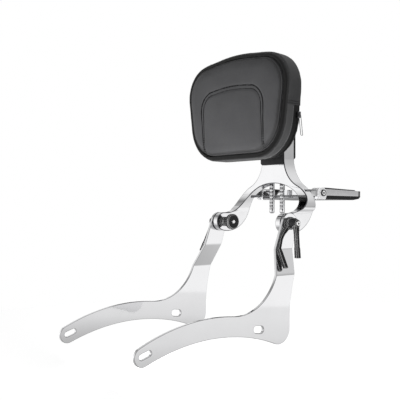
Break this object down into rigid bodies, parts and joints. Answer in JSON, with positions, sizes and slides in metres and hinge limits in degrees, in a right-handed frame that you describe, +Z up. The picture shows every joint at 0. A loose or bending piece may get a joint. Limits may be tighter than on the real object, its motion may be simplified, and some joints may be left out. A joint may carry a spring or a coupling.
{
  "type": "motorcycle backrest with folding rack",
  "caption": "Adjustable padded backrest on a forked chrome frame between two joggled side plates, with clamp levers, notched height posts and a small folding luggage rack.",
  "frame": {"origin": "midway between the centres of the rear mounting slots of the two side plates", "axes": "+Z up, -Y towards the front of the motorbike, +X to the rider's left"},
  "size_m": [0.3058, 0.6222, 0.5647],
  "materials": {
    "plate_chrome": "polished chrome plate",
    "frame_chrome": "polished chrome plate",
    "rack_chrome": "polished chrome plate",
    "post_chrome": "polished chrome plate",
    "fastener_steel": "bright plated steel",
    "black_metal": "satin black powder coat",
    "lever_plastic": "fine-grained satin black",
    "bushing_plastic": "plain black",
    "tray_plastic": "satin black moulding",
    "strip_rubber": "ribbed black rubber",
    "pad_vinyl": "matt black grained vinyl with stitched seams",
    "zip_metal": "bright nickel"
  },
  "bodies": {
    "side_plates": {"side_plate_left": "plate_chrome", "side_plate_right": "plate_chrome", "pivot_bolts": "fastener_steel", "clamp_ring": "black_metal", "lever_washers": "fastener_steel"},
    "backrest": {"backrest_frame": "frame_chrome", "pivot_bushings": "bushing_plastic", "friction_washers": "bushing_plastic", "post_guide": "bushing_plastic", "rear_cover": "black_metal", "cover_screws": "fastener_steel", "rack_pivot_screws": "fastener_steel"},
    "pad": {"height_post_left": "post_chrome", "height_post_right": "post_chrome", "pad_cushion": "pad_vinyl", "pad_back_plate": "black_metal", "pad_bracket": "black_metal", "post_screws": "fastener_steel"},
    "rack": {"rack_frame": "rack_chrome", "rack_strip_left": "strip_rubber", "rack_strip_right": "strip_rubber", "rack_tray": "tray_plastic", "tie_rod": "post_chrome"},
    "clamp_lever_left": {"clamp_lever_left": "lever_plastic", "lever_screw_left": "fastener_steel"},
    "clamp_lever_right": {"clamp_lever_right": "lever_plastic", "lever_screw_right": "fastener_steel"},
    "release_lever": {"release_lever": "black_metal"},
    "tension_knob": {"tension_knob": "lever_plastic", "knob_cap": "fastener_steel"},
    "height_latch": {"height_latch": "lever_plastic"},
    "zip_slider": {"zip_slider": "zip_metal"},
    "zip_pull": {"zip_pull": "zip_metal"}
  },
  "joints": [
    {"name": "backrest_tilt", "type": "hinge", "parent": "side_plates", "child": "backrest", "pos_m": [0, 0.102, 0.1925], "axis": [1, 0, 0], "range_deg": [-15, 75]},
    {"name": "pad_height", "type": "slide", "parent": "backrest", "child": "pad", "axis": [0, 0, 1], "range_m": [0, 0.055]},
    {"name": "rack_fold", "type": "hinge", "parent": "backrest", "child": "rack", "pos_m": [0, 0.219, 0.253], "axis": [1, 0, 0], "range_deg": [0, 85]},
    {"name": "clamp_lever_left_turn", "type": "hinge", "parent": "side_plates", "child": "clamp_lever_left", "pos_m": [0.1215, 0.102, 0.1925], "axis": [1, 0, 0], "range_deg": [-15, 90]},
    {"name": "clamp_lever_right_turn", "type": "hinge", "parent": "side_plates", "child": "clamp_lever_right", "pos_m": [-0.1215, 0.102, 0.1925], "axis": [1, 0, 0], "range_deg": [-15, 90]},
    {"name": "release_lever_pull", "type": "hinge", "parent": "side_plates", "child": "release_lever", "pos_m": [0.112, 0.102, 0.1925], "axis": [1, 0, 0], "range_deg": [-20, 0], "stiffness_Nm_per_rad": 0.3, "springref_deg": 5.73},
    {"name": "tension_knob_turn", "type": "hinge", "parent": "side_plates", "child": "tension_knob", "pos_m": [-0.072, 0.102, 0.1925], "axis": [1, 0, 0], "range_deg": [0, 270]},
    {"name": "height_latch_push", "type": "slide", "parent": "backrest", "child": "height_latch", "axis": [0, -1, 0], "range_m": [0, 0.004], "stiffness_N_per_m": 500, "springref_m": -0.002},
    {"name": "zip_travel", "type": "hinge", "parent": "pad", "child": "zip_slider", "pos_m": [0.06273, 0.09, 0.399], "axis": [0, 1, 0], "range_deg": [0, 70]},
    {"name": "zip_pull_swing", "type": "hinge", "parent": "zip_slider", "child": "zip_pull", "pos_m": [0.14716, 0.09, 0.40027], "axis": [0, 1, 0], "range_deg": [-75, 0]}
  ]
}
